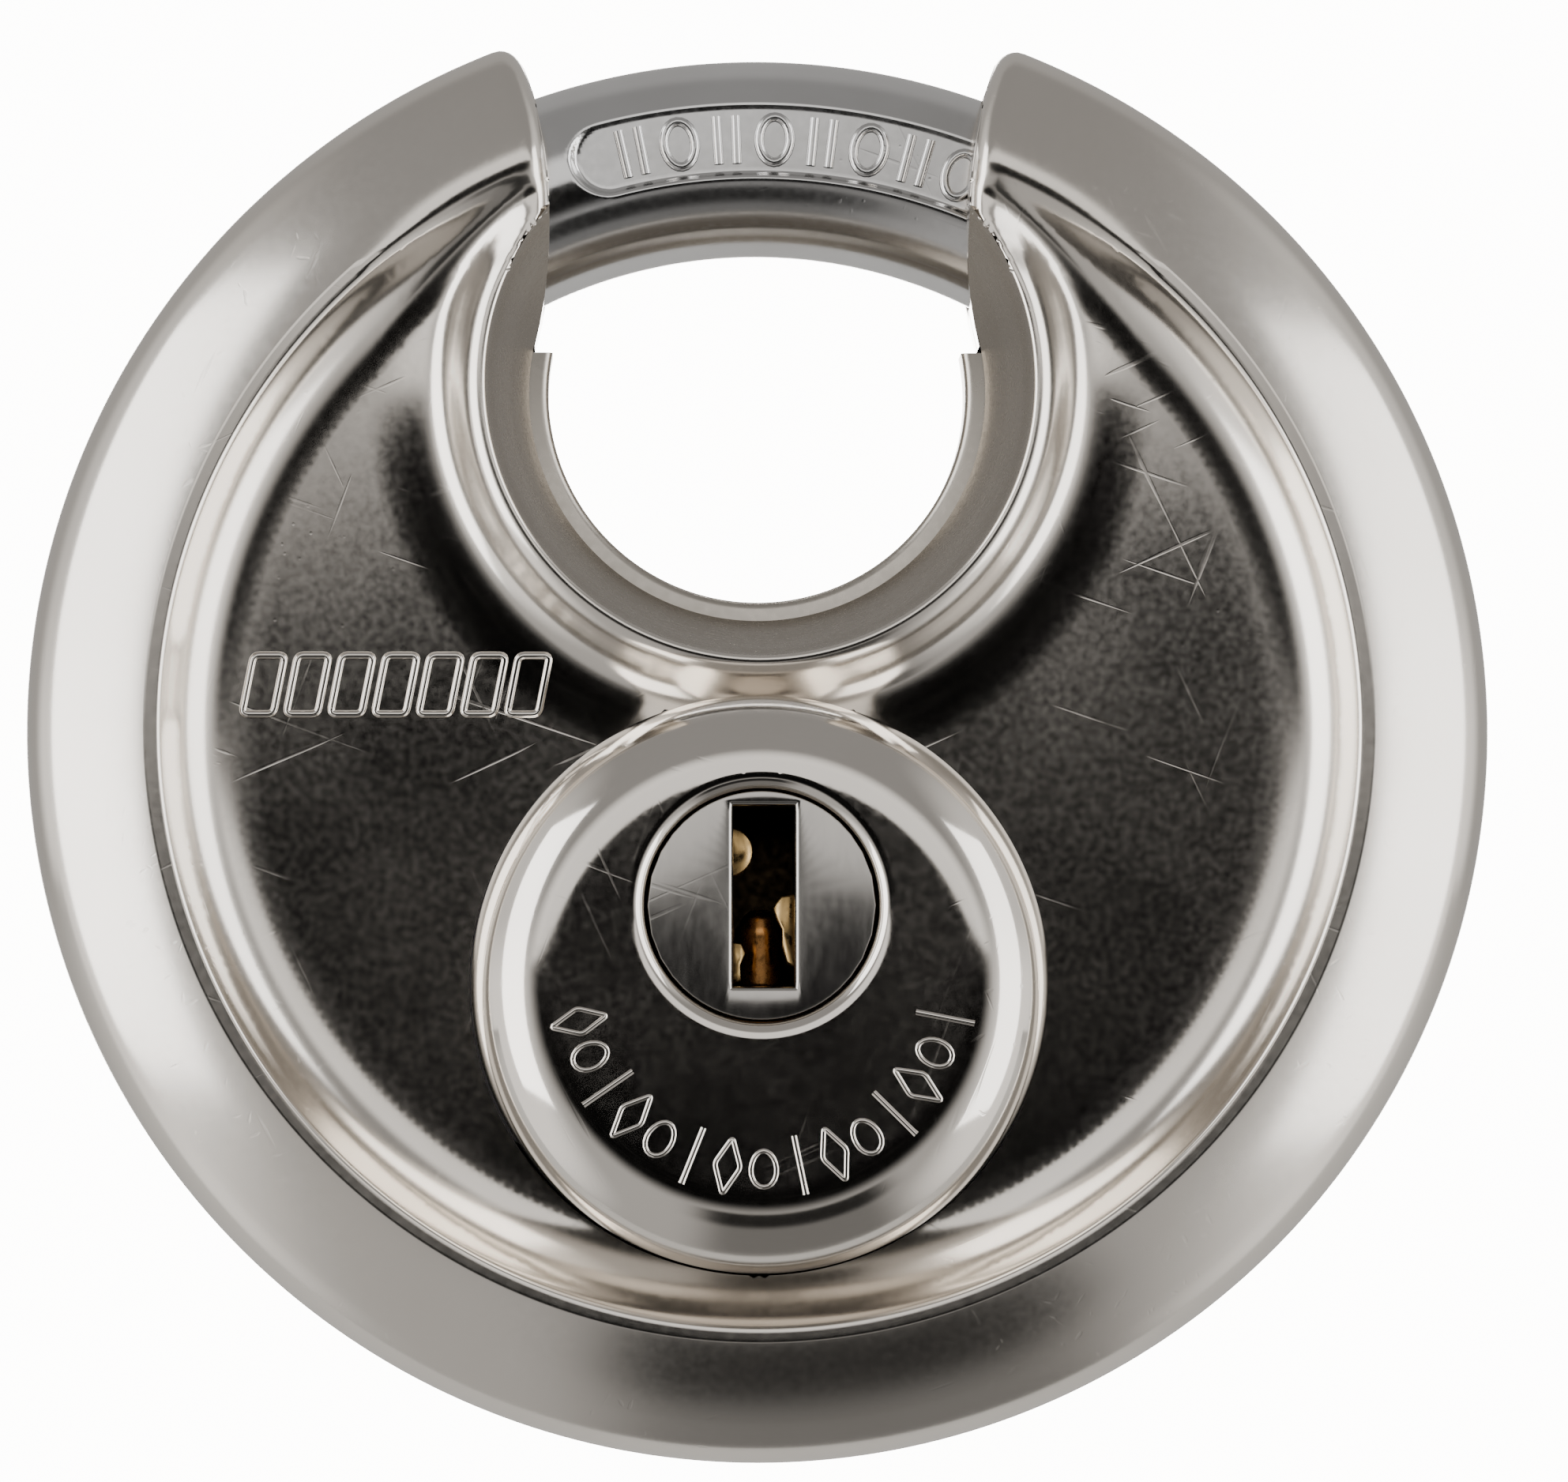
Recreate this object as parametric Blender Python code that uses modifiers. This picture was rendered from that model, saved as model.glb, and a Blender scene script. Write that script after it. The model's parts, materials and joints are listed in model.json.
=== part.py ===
"""Disc padlock: two pressed steel shells around a bar shackle that swings round the disc.

Run it with  blender --background --python part.py

Units are metres. In the world +X is right, +Z is up, and the keyed face looks along -Y. The padlock
hangs: the world's origin is where a staple bears on the inside of the shackle, at its crown.
Every piece is placed in the face frame of the empty "disc_centre", which sits on the disc's axis in the
plane of the seam: local X is right, local Y is up, and local Z is depth, out of the keyed face.

How it works: the key turns the plug, the plug's tail turns a crank, and the crank's pin runs in the
fork of an arm that is riveted to the shackle's tail. The crank is as long as the plug's axis is far
from the disc's axis, so the shackle swings exactly half as far as the key turns.
"""

import math

import bmesh
import bpy

# Disc and shackle
DISC_R = 0.035
SHACKLE_D = 0.0095
TRACK_R = 0.02795  # centre line of the shackle, round the disc's axis
NOSE_DEG = -46.0  # clockwise from the top, seen from the front
TAIL_DEG = 156.0
SWING_DEG = 71.0
WALL = 0.0015
GAP = 0.0003  # clearance between pieces that rest on each other
SEAM = 0.00015  # half the gap between the two shells

# Pressed face, as radii from the disc's axis and depths from the seam
FLOOR_DEPTH = 0.0073
CREST_DEPTH = 0.0100
CREST_R = 0.0290
DISH_R = 0.0249
DISH_FILLET = 0.0034
CONE_DEG = 32.0
EDGE_ROUND = 0.0034

# Hole for the hasp and the gap above it
HOLE_UP = 0.0164
THROAT_R = 0.01005
FUNNEL_R = 0.0108
COLLAR_R = 0.0130
COLLAR_FOOT_R = 0.0163
COLLAR_DEPTH = 0.0098
RING_HALF = 0.0020
RING_OUT_R = 0.0120
NOTCH_UP = 0.0187
JAW_HALF = 0.0100  # half the gap between the horns where it is narrowest
JAW_UP = 0.0243
JAW_ROUND = 0.0220
HORN_WALL_X = 0.0129

# Lock cylinder
BOSS_UP = -0.01225
BOSS_R = 0.01365
BOSS_DEPTH = 0.0145
BOSS_ROUND = 0.0040
FLANGE_THICK = 0.0005
FLANGE_WIDE = 0.0009
PLUG_UP = -0.00865
PLUG_R = 0.0053
PLUG_HOLE_R = 0.0057
BORE_R = 0.0056
BARREL_R = 0.0076
CHAMBER_R = 0.00135
PIN_R = 0.00115
KEYWAY_WIDTH = 0.0024
KEYWAY_TOP = 0.0044  # above the plug's axis
KEYWAY_FOOT = -0.0038
SLOT_WIDTH = 0.00287
SLOT_HEIGHT = 0.00846
SLOT_RISE = 0.00043
FACE_FRONT = 0.0142
FACE_THICK = 0.0006
HOUSING_FRONT = 0.0119
HOUSING_BACK = -0.0006
BLOCK_HALF = 0.0035
BLOCK_FOOT = -0.0222
PIN_DEPTHS = [0.0098 - 0.0025 * i for i in range(4)]
PIN_LENGTHS = [0.00375, 0.0041, 0.0034, 0.0039]
PIN_RISES = [0.0014, 0.0011, 0.0013, 0.0010]  # how far each key pin stands above its lowest place
DRIVER_LENGTH = 0.0030
SPRING_TURNS = 3.5
SPRING_WIRE = 0.00018
SPRING_R = 0.00095
CAP_STRIP = 0.0010

# Crank, fork arm and their depths, behind the seam
CRANK_FRONT = -0.0009
CRANK_THICK = 0.0020
ARM_FRONT = -0.0032
ARM_THICK = 0.0018
CRANK_PIN_R = 0.0013
FORK_HALF = 0.0036
FORK_TIP_R = 0.0118
FORK_SLOT_END_R = 0.0190
BODY_R = 0.0228
BODY_DEPTH = 0.0055
RIVET_R = 0.0012
RIVET_DEGS = [139.0, 150.0]

SHELL_STEPS = 72
SMALL_STEPS = 32

STEEL = ("polished_steel", (0.78, 0.76, 0.73), 1.0, 0.16)
CHROME = ("chromed_steel", (0.70, 0.70, 0.71), 1.0, 0.12)
BRASS = ("brass", (0.72, 0.52, 0.25), 1.0, 0.30)
ZINC = ("cast_zinc", (0.52, 0.53, 0.55), 1.0, 0.45)
DARK_STEEL = ("hardened_steel", (0.36, 0.36, 0.38), 1.0, 0.35)
SPRING_STEEL = ("spring_steel", (0.55, 0.55, 0.57), 1.0, 0.28)


def clear_scene():
    for obj in list(bpy.data.objects):
        bpy.data.objects.remove(obj, do_unlink=True)


def new_collection(name):
    made = bpy.data.collections.new(name)
    bpy.context.scene.collection.children.link(made)
    return made


def new_empty(name, location, parent=None):
    empty = bpy.data.objects.new(name, None)
    empty.location = location
    empty.parent = parent
    PARTS.objects.link(empty)
    return empty


def material(spec):
    """The Principled material of that spec, made once."""
    name, colour, metallic, roughness = spec
    made = bpy.data.materials.get(name)
    if made is None:
        made = bpy.data.materials.new(name)
        made.use_nodes = True
        shader = made.node_tree.nodes["Principled BSDF"]
        shader.inputs["Base Color"].default_value = (*colour, 1.0)
        shader.inputs["Metallic"].default_value = metallic
        shader.inputs["Roughness"].default_value = roughness
    return made


def place(name, mesh, spec, location=(0, 0, 0), parent=None):
    """Puts a mesh in the scene as a part or, where spec is None, as a hidden cutter."""
    obj = bpy.data.objects.new(name, mesh)
    obj.parent = parent or DISC
    obj.location = location
    if spec is None:
        obj.hide_render = True
        obj.display_type = "WIRE"
        CUTTERS.objects.link(obj)
    else:
        mesh.materials.append(material(spec))
        PARTS.objects.link(obj)
    return obj


def arc(centre, radius, start_deg, end_deg, steps):
    """Points along an arc, with angles counted from +X towards +Y."""
    points = []
    for i in range(steps + 1):
        angle = math.radians(start_deg + (end_deg - start_deg) * i / steps)
        points.append((centre[0] + radius * math.cos(angle), centre[1] + radius * math.sin(angle)))
    return points


def on_disc(radius, clock_deg):
    """The point at that radius, clockwise from the top of the disc."""
    angle = math.radians(clock_deg)
    return radius * math.sin(angle), radius * math.cos(angle)


def turned(name, profile, spec=None, up=0.0, ring=False, steps=SHELL_STEPS):
    """A turned solid from (radius, depth) points that run down its outer side, front to back."""
    mesh = bpy.data.meshes.new(name)
    edges = [(i, i + 1) for i in range(len(profile) - 1)]
    if ring:
        edges.append((len(profile) - 1, 0))
    mesh.from_pydata([(radius, 0, depth) for radius, depth in profile], edges, [])
    obj = place(name, mesh, spec, (0, up, 0))
    screw = obj.modifiers.new("turn", "SCREW")
    screw.axis = "Z"
    screw.steps = steps
    screw.render_steps = steps
    screw.use_merge_vertices = True
    screw.merge_threshold = 0.00001
    return obj


def prism(name, outline, back, front, spec=None, parent=None):
    """A flat outline given in the face frame, filled and extruded from back to front."""
    curve = bpy.data.curves.new(name, "CURVE")
    curve.dimensions = "2D"
    curve.fill_mode = "BOTH"
    curve.extrude = (front - back) / 2
    spline = curve.splines.new("POLY")
    spline.points.add(len(outline) - 1)
    for point, (x, up) in zip(spline.points, outline):
        point.co = (x, up, 0, 1)
    spline.use_cyclic_u = True
    return solid_from_curve(name, curve, spec, (0, 0, (back + front) / 2), parent)


def solid_from_curve(name, curve, spec, location=(0, 0, 0), parent=None):
    """Turns a curve with filled caps into a welded mesh object."""
    guide = bpy.data.objects.new(name + "_curve", curve)
    bpy.context.scene.collection.objects.link(guide)
    graph = bpy.context.evaluated_depsgraph_get()
    mesh = bpy.data.meshes.new_from_object(guide.evaluated_get(graph))
    bpy.data.objects.remove(guide, do_unlink=True)
    edit = bmesh.new()
    edit.from_mesh(mesh)
    bmesh.ops.remove_doubles(edit, verts=edit.verts, dist=0.000001)
    bmesh.ops.recalc_face_normals(edit, faces=edit.faces)
    edit.to_mesh(mesh)
    edit.free()
    mesh.materials.clear()
    return place(name, mesh, spec, location, parent)


def rod(name, radius, back, front, spec=None, at=(0, 0), parent=None, steps=SMALL_STEPS):
    """A round rod along depth."""
    edit = bmesh.new()
    bmesh.ops.create_cone(
        edit, cap_ends=True, segments=steps, radius1=radius, radius2=radius, depth=front - back
    )
    mesh = bpy.data.meshes.new(name)
    edit.to_mesh(mesh)
    edit.free()
    mesh.shade_smooth()
    mesh.set_sharp_from_angle(angle=math.radians(40))
    return place(name, mesh, spec, (at[0], at[1], (back + front) / 2), parent)


def stake(name, radius, foot, top, depth, spec=None, parent=None, point=0.0, steps=16):
    """A round pin that stands up in the disc's middle plane, with a cone of that height at its top."""
    profile = [(0, top), (radius * 0.3, top), (radius, top - point), (radius, foot), (0, foot)]
    if not point:
        profile.pop(1)
    mesh = bpy.data.meshes.new(name)
    mesh.from_pydata([(r, 0, z) for r, z in profile], [(i, i + 1) for i in range(len(profile) - 1)], [])
    obj = place(name, mesh, spec, (0, 0, depth), parent)
    obj.rotation_euler = (-math.pi / 2, 0, 0)
    screw = obj.modifiers.new("turn", "SCREW")
    screw.axis = "Z"
    screw.steps = steps
    screw.render_steps = steps
    screw.use_merge_vertices = True
    screw.merge_threshold = 0.00001
    return obj


def box(name, low, high, spec=None, parent=None):
    edit = bmesh.new()
    bmesh.ops.create_cube(edit, size=1)
    size = [b - a for a, b in zip(low, high)]
    bmesh.ops.scale(edit, vec=size, verts=edit.verts)
    mesh = bpy.data.meshes.new(name)
    edit.to_mesh(mesh)
    edit.free()
    return place(name, mesh, spec, [(a + b) / 2 for a, b in zip(low, high)], parent)


def boolean(obj, other, operation="DIFFERENCE"):
    modifier = obj.modifiers.new(f"{operation.lower()}_{other.name}", "BOOLEAN")
    modifier.operation = operation
    modifier.object = other


def smooth(obj, angle_deg=35):
    """Smooth shading by angle, for a mesh whose faces come from its modifiers."""
    obj.data.shade_smooth()
    obj.data.set_sharp_from_angle(angle=math.radians(angle_deg))


# ---------------------------------------------------------------- shells


def shell_profile():
    """(radius, depth) of the pressed face, from the axis over the crest to the seam."""
    fillet_centre = (DISH_R, FLOOR_DEPTH + DISH_FILLET)
    points = [(0, FLOOR_DEPTH)] + arc(fillet_centre, DISH_FILLET, -90, -25, 3)
    points += [(CREST_R - 0.0004, CREST_DEPTH - 0.00015), (CREST_R, CREST_DEPTH)]
    cone_start = (CREST_R + 0.0005, CREST_DEPTH - 0.0001)
    points.append(cone_start)
    round_r = DISC_R - EDGE_ROUND
    round_start_r = round_r + EDGE_ROUND * math.sin(math.radians(CONE_DEG))
    cone_end = cone_start[1] - (round_start_r - cone_start[0]) * math.tan(math.radians(CONE_DEG))
    round_depth = cone_end - EDGE_ROUND * math.cos(math.radians(CONE_DEG))
    points += arc((round_r, round_depth), EDGE_ROUND, 90 - CONE_DEG, 0, 4)
    points += [(DISC_R, SEAM), (0, SEAM)]
    return points


def cavity_profile():
    """(radius, depth) of the room inside a shell."""
    inner = FLOOR_DEPTH - WALL
    track_out = DISC_R - WALL
    below = -0.001
    return [
        (0, inner),
        (DISH_R + 0.0017, inner),
        (CREST_R, CREST_DEPTH - 0.0017),
        (CREST_R + 0.0008, CREST_DEPTH - 0.0018),
        (DISC_R - 0.0028, 0.0065),
        (DISC_R - 0.0017, 0.0048),
        (track_out, 0.0032),
        (track_out, below),
        (0, below),
    ]


def funnel_profile():
    """The hole's flare through the collar, with the ring's seat below it."""
    above, below = 0.013, -0.001
    seat = RING_HALF + GAP
    return [
        (0, above),
        (COLLAR_R + 0.0002, above),
        (COLLAR_R - 0.0003, COLLAR_DEPTH - 0.0003),
        (COLLAR_R - 0.0011, COLLAR_DEPTH - 0.0026),
        (FUNNEL_R, seat),
        (RING_OUT_R + GAP, seat),
        (RING_OUT_R + GAP, below),
        (0, below),
    ]


def throat_wall_profile():
    """What the cavity leaves standing round the hole: the flare and its wall."""
    above, below = 0.014, -0.002
    return [
        (0, above),
        (COLLAR_R + WALL, above),
        (COLLAR_R + WALL - 0.0005, COLLAR_DEPTH - 0.0026),
        (RING_OUT_R + WALL, RING_HALF + GAP),
        (RING_OUT_R + WALL, below),
        (0, below),
    ]


def collar_profile():
    """The raised collar round the hole, from its crest down to the dish."""
    under = 0.001
    return [
        (0, COLLAR_DEPTH + 0.0006),
        (COLLAR_R + 0.0003, COLLAR_DEPTH),
        (COLLAR_R + 0.0007, COLLAR_DEPTH - 0.0002),
        (COLLAR_FOOT_R - 0.0010, FLOOR_DEPTH + 0.0003),
        (COLLAR_FOOT_R, FLOOR_DEPTH - 0.0002),
        (COLLAR_FOOT_R, under),
        (0, under),
    ]


def jaw_outline():
    """The gap between the horns, from the notch upwards, with sides that bow inwards."""
    top = DISC_R + 0.004
    start = math.degrees(math.asin((NOTCH_UP - JAW_UP) / JAW_ROUND))
    end = math.degrees(math.asin((top - JAW_UP) / JAW_ROUND))
    right = arc((JAW_HALF + JAW_ROUND, JAW_UP), JAW_ROUND, 180 - start, 180 - end, 10)
    return [(-x, up) for x, up in reversed(right)] + right


def torus_cutter(name, tube_r):
    """The shackle's track, a full ring round the disc."""
    sides = 14
    profile = [
        (TRACK_R + tube_r * math.sin(2 * math.pi * i / sides), tube_r * math.cos(2 * math.pi * i / sides))
        for i in range(sides)
    ]
    return turned(name, profile, ring=True)


def make_shell(name, boss, spec):
    """One shell, facing the front. boss says whether the lock cylinder comes through it."""
    shell = turned(name, shell_profile(), spec)
    boolean(shell, turned(name + "_collar", collar_profile(), up=HOLE_UP, steps=56), "UNION")
    if not boss:
        boolean(shell, turned(name + "_pad", pad_profile(BOSS_R, CREST_DEPTH), up=BOSS_UP, steps=64), "UNION")
    cavity = turned(name + "_cavity", cavity_profile())
    if not boss:
        pad_room = turned(name + "_pad_room", pad_profile(BOSS_R - WALL, CREST_DEPTH - WALL), up=BOSS_UP, steps=48)
        boolean(cavity, pad_room, "UNION")
    throat_wall = turned(name + "_throat_wall", throat_wall_profile(), up=HOLE_UP, steps=56)
    boolean(cavity, throat_wall)
    end_wall = box(name + "_end_wall", (-HORN_WALL_X, HOLE_UP, -0.004), (HORN_WALL_X, 0.04, 0.015))
    boolean(cavity, end_wall)
    boolean(shell, cavity)
    boolean(shell, prism(name + "_jaw", jaw_outline(), -0.002, 0.016))
    boolean(shell, torus_cutter(name + "_track", SHACKLE_D / 2 + GAP))
    if boss:
        boolean(shell, rod(name + "_boss_hole", BOSS_R + GAP, 0.001, 0.016, at=(0, BOSS_UP), steps=48))
    boolean(shell, turned(name + "_funnel", funnel_profile(), up=HOLE_UP, steps=56))
    smooth(shell)
    return shell


def pad_profile(radius, top):
    """A round raised pad with a rounded shoulder, down to the middle of the shell."""
    shoulder = 0.0022
    return [(0, top)] + arc((radius - shoulder, top - shoulder), shoulder, 90, 0, 4) + [(radius, 0.002), (0, 0.002)]


def make_case():
    """The fixed outer pieces."""
    make_shell("front_shell", True, STEEL)
    rear = make_shell("rear_shell", False, STEEL)
    rear_side = [rear] + [obj for obj in CUTTERS.objects if obj.name.startswith("rear_shell")]
    for obj in rear_side:
        # Half a turn about the upright axis keeps the hole and the gap where they are.
        obj.rotation_euler = (0, math.pi, 0)
        obj.location.z = -obj.location.z
    edge = 0.0004
    ring = turned(
        "throat_ring",
        [
            (RING_OUT_R, RING_HALF),
            (RING_OUT_R, -RING_HALF),
            (THROAT_R + edge, -RING_HALF),
            (THROAT_R, -RING_HALF + edge),
            (THROAT_R, RING_HALF - edge),
            (THROAT_R + edge, RING_HALF),
        ],
        STEEL,
        up=HOLE_UP,
        ring=True,
        steps=72,
    )
    boolean(ring, box("ring_notch", (-0.02, NOTCH_UP - GAP, -0.01), (0.02, 0.04, 0.01)))
    smooth(ring)
    make_cylinder_cap()


def make_cylinder_cap():
    """The drawn cap over the lock cylinder, held by a flange behind the front shell."""
    flange_r = BOSS_R + FLANGE_WIDE
    flange_front = FLOOR_DEPTH - WALL - GAP
    flange_back = flange_front - FLANGE_THICK
    inside_r = BOSS_R - WALL
    inside_round = BOSS_ROUND - WALL
    inside_top = BOSS_DEPTH - WALL
    profile = [(0, BOSS_DEPTH)]
    profile += arc((BOSS_R - BOSS_ROUND, BOSS_DEPTH - BOSS_ROUND), BOSS_ROUND, 90, 0, 5)
    profile += [(BOSS_R, flange_front), (flange_r, flange_front), (flange_r, flange_back)]
    profile += [(inside_r, flange_back)]
    profile += arc((inside_r - inside_round, inside_top - inside_round), inside_round, 0, 90, 3)
    profile += [(0, inside_top)]
    cap = turned("cylinder_cap", profile, STEEL, up=BOSS_UP, steps=48)
    boolean(cap, rod("cap_hole", PLUG_HOLE_R, 0.012, 0.016, at=(0, PLUG_UP), steps=48))
    smooth(cap)


# ---------------------------------------------------------------- shackle and its drive


def make_shackle():
    """The bar, its fork arm and the rivets that join them. They swing about the disc's axis."""
    curve = bpy.data.curves.new("shackle", "CURVE")
    curve.dimensions = "3D"
    curve.bevel_depth = SHACKLE_D / 2
    curve.bevel_resolution = 4
    curve.use_fill_caps = True
    spline = curve.splines.new("POLY")
    step_deg = 5.0
    count = round((TAIL_DEG - NOSE_DEG) / step_deg)
    spline.points.add(count)
    for i, point in enumerate(spline.points):
        x, up = on_disc(TRACK_R, NOSE_DEG + (TAIL_DEG - NOSE_DEG) * i / count)
        point.co = (x, up, 0, 1)
        point.radius = 0.82 if i == 0 else 1.0
    shackle = solid_from_curve("shackle", curve, CHROME)
    flat = [on_disc(0.022, 131), on_disc(0.034, 131), on_disc(0.034, 144), on_disc(0.034, 160), on_disc(0.022, 160)]
    boolean(shackle, prism("shackle_flat", flat, -0.006, ARM_FRONT + GAP))
    for i, clock in enumerate(RIVET_DEGS):
        at = on_disc(TRACK_R, clock)
        boolean(shackle, rod(f"shackle_rivet_hole_{i + 1}", RIVET_R + GAP, -0.006, 0.003, at=at, steps=20))
    smooth(shackle)
    make_fork_arm()
    for i, clock in enumerate(RIVET_DEGS):
        make_rivet(f"arm_rivet_{i + 1}", on_disc(TRACK_R, clock))


def make_fork_arm():
    """A flat arm whose inner end is a fork that straddles the crank's pin."""
    middle = math.radians(180 - SWING_DEG / 2)
    out = (math.sin(middle), math.cos(middle))
    side = (out[1], -out[0])

    def at(radius, offset):
        return out[0] * radius + side[0] * offset, out[1] * radius + side[1] * offset

    slot_half = CRANK_PIN_R + GAP
    slot_end = [
        at(FORK_SLOT_END_R - slot_half + slot_half * math.cos(a), slot_half * math.sin(a))
        for a in (math.pi * (i / 8 - 0.5) for i in range(9))
    ]
    outline = [at(FORK_TIP_R, -FORK_HALF), at(FORK_TIP_R, -slot_half)]
    outline += slot_end
    outline += [at(FORK_TIP_R, slot_half), at(FORK_TIP_R, FORK_HALF)]
    outline += [at(0.0235, FORK_HALF), on_disc(0.0255, 153.5), on_disc(0.0306, 153.5)]
    outline += [on_disc(0.0309, 144.5), on_disc(0.0306, 135.5), on_disc(0.0255, 135.5), at(0.0235, -FORK_HALF)]
    arm = prism("swing_arm", outline, ARM_FRONT - ARM_THICK, ARM_FRONT, DARK_STEEL)
    for i, clock in enumerate(RIVET_DEGS):
        at_rivet = on_disc(TRACK_R, clock)
        boolean(arm, rod(f"arm_rivet_hole_{i + 1}", RIVET_R + GAP, -0.008, 0, at=at_rivet, steps=20))


def make_rivet(name, at):
    """A rivet with a domed head on the back of the arm."""
    arm_back = ARM_FRONT - ARM_THICK
    head_r, head_top = RIVET_R * 1.6, 0.0005
    base = arm_back - GAP
    profile = [
        (0, 0.0026),
        (RIVET_R, 0.0026),
        (RIVET_R, base),
        (head_r, base),
        (head_r * 0.8, base - head_top * 0.7),
        (head_r * 0.4, base - head_top),
        (0, base - head_top),
    ]
    rivet = turned(name, profile, DARK_STEEL, steps=20)
    rivet.location = (at[0], at[1], 0)
    smooth(rivet)


def make_crank():
    """Crank, its pin and its screw. They turn with the plug."""
    rest = math.radians(180 - SWING_DEG)
    reach = abs(PLUG_UP)
    pin_at = (reach * math.sin(rest), reach * math.cos(rest))
    hub_r, end_r = 0.0042, 0.0023
    back = CRANK_FRONT - CRANK_THICK
    heading = math.degrees(math.atan2(pin_at[1], pin_at[0]))
    spread = math.degrees(math.acos((hub_r - end_r) / reach))
    outline = arc((0, 0), hub_r, heading + spread, heading + 360 - spread, 20)
    outline += arc(pin_at, end_r, heading - spread, heading + spread, 8)
    crank = prism("crank", outline, back, CRANK_FRONT, DARK_STEEL, PLUG_AXIS)
    boolean(crank, box("crank_square", (-0.0019, -0.0019, -0.006), (0.0019, 0.0019, 0), parent=PLUG_AXIS))
    boolean(crank, rod("crank_pin_hole", CRANK_PIN_R + 0.0001, -0.006, 0, at=pin_at, parent=PLUG_AXIS, steps=20))
    arm_back = ARM_FRONT - ARM_THICK
    rod("crank_pin", CRANK_PIN_R, arm_back + 0.0001, CRANK_FRONT, CHROME, pin_at, PLUG_AXIS, steps=20)
    screw_back = back - GAP - 0.0014
    shank_front = -0.00005
    screw = rod("crank_screw", 0.0021, screw_back, back - GAP, SPRING_STEEL, parent=PLUG_AXIS, steps=24)
    shank = rod("crank_screw_shank", 0.0009, screw_back + 0.0004, shank_front, parent=PLUG_AXIS, steps=16)
    boolean(screw, shank, "UNION")
    slot = box("crank_screw_slot", (-0.003, -0.0003, screw_back - 0.001), (0.003, 0.0003, screw_back + 0.0006))
    slot.parent = PLUG_AXIS
    boolean(screw, slot)


# ---------------------------------------------------------------- lock cylinder


def make_plug():
    """The plug, its face and its key pins. They turn about the plug's axis."""
    face_back = FACE_FRONT - FACE_THICK
    front = face_back - GAP
    plug = rod("plug", PLUG_R, HOUSING_BACK, front, BRASS, parent=PLUG_AXIS, steps=48)
    tail = box(
        "plug_tail", (-0.0016, -0.0016, CRANK_FRONT - CRANK_THICK), (0.0016, 0.0016, 0.002), parent=PLUG_AXIS
    )
    boolean(plug, tail, "UNION")
    boolean(plug, rod("plug_tail_bore", 0.0011, -0.006, GAP, parent=PLUG_AXIS, steps=16))
    half = KEYWAY_WIDTH / 2
    keyway_end = PIN_DEPTHS[-1] - 0.0010
    keyway = box("keyway", (-half, KEYWAY_FOOT, keyway_end), (half, KEYWAY_TOP, 0.02), parent=PLUG_AXIS)
    boolean(plug, keyway)
    wards = box("keyway_ward", (-half - 0.0007, -0.0002, keyway_end), (half, 0.0014, 0.02), parent=PLUG_AXIS)
    boolean(plug, wards)
    for i, depth in enumerate(PIN_DEPTHS):
        boolean(plug, stake(f"plug_chamber_{i + 1}", CHAMBER_R, -0.008, 0, depth, parent=PLUG_AXIS))
    smooth(plug)
    face = rod("plug_face", PLUG_R, face_back, FACE_FRONT, STEEL, parent=PLUG_AXIS, steps=64)
    slot_low = (-SLOT_WIDTH / 2, SLOT_RISE - SLOT_HEIGHT / 2, 0.01)
    slot_high = (SLOT_WIDTH / 2, SLOT_RISE + SLOT_HEIGHT / 2, 0.02)
    boolean(face, box("face_slot", slot_low, slot_high, parent=PLUG_AXIS))
    smooth(face)
    lowest = -PLUG_R + 0.0001
    for i, (depth, length, rise) in enumerate(zip(PIN_DEPTHS, PIN_LENGTHS, PIN_RISES)):
        foot = lowest + rise
        stake(f"key_pin_{i + 1}", PIN_R, foot, foot + length, depth, BRASS, PLUG_AXIS, point=0.0009)


def housing_outline(grow, foot):
    """Round barrel with a block hanging under it for the pin chambers."""
    radius, half = BARREL_R + grow, BLOCK_HALF + grow
    meet = math.degrees(math.acos(half / radius))
    outline = arc((0, PLUG_UP), radius, -meet, 180 + meet, 30)
    return outline + [(-half, foot), (half, foot)]


def make_housing():
    """The cylinder's housing with its driver pins, springs and the strip that closes the chambers."""
    housing = prism("cylinder_housing", housing_outline(0, BLOCK_FOOT), HOUSING_BACK, HOUSING_FRONT, BRASS)
    boolean(housing, rod("plug_bore", BORE_R, -0.002, 0.02, at=(0, PLUG_UP), steps=48))
    strip_top = BLOCK_FOOT + CAP_STRIP
    for i, depth in enumerate(PIN_DEPTHS):
        chamber = stake(f"housing_chamber_{i + 1}", CHAMBER_R, strip_top - 0.0005, PLUG_UP, depth)
        boolean(housing, chamber)
    strip_half = CHAMBER_R + 0.0003
    room = box("strip_room", (-strip_half - GAP, BLOCK_FOOT - 0.001, -0.01), (strip_half + GAP, strip_top, 0.02))
    boolean(housing, room)
    ends = (HOUSING_BACK + 0.0005, HOUSING_FRONT - 0.0005)
    box("chamber_strip", (-strip_half, BLOCK_FOOT, ends[0]), (strip_half, strip_top - GAP, ends[1]), BRASS)
    driver_top = PLUG_UP - BORE_R - 0.0001
    driver_foot = driver_top - DRIVER_LENGTH
    for i, depth in enumerate(PIN_DEPTHS):
        stake(f"driver_pin_{i + 1}", PIN_R, driver_foot, driver_top, depth, CHROME)
        spring_between(f"pin_spring_{i + 1}", strip_top + 0.0002, driver_foot - 0.0004, depth)


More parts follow.
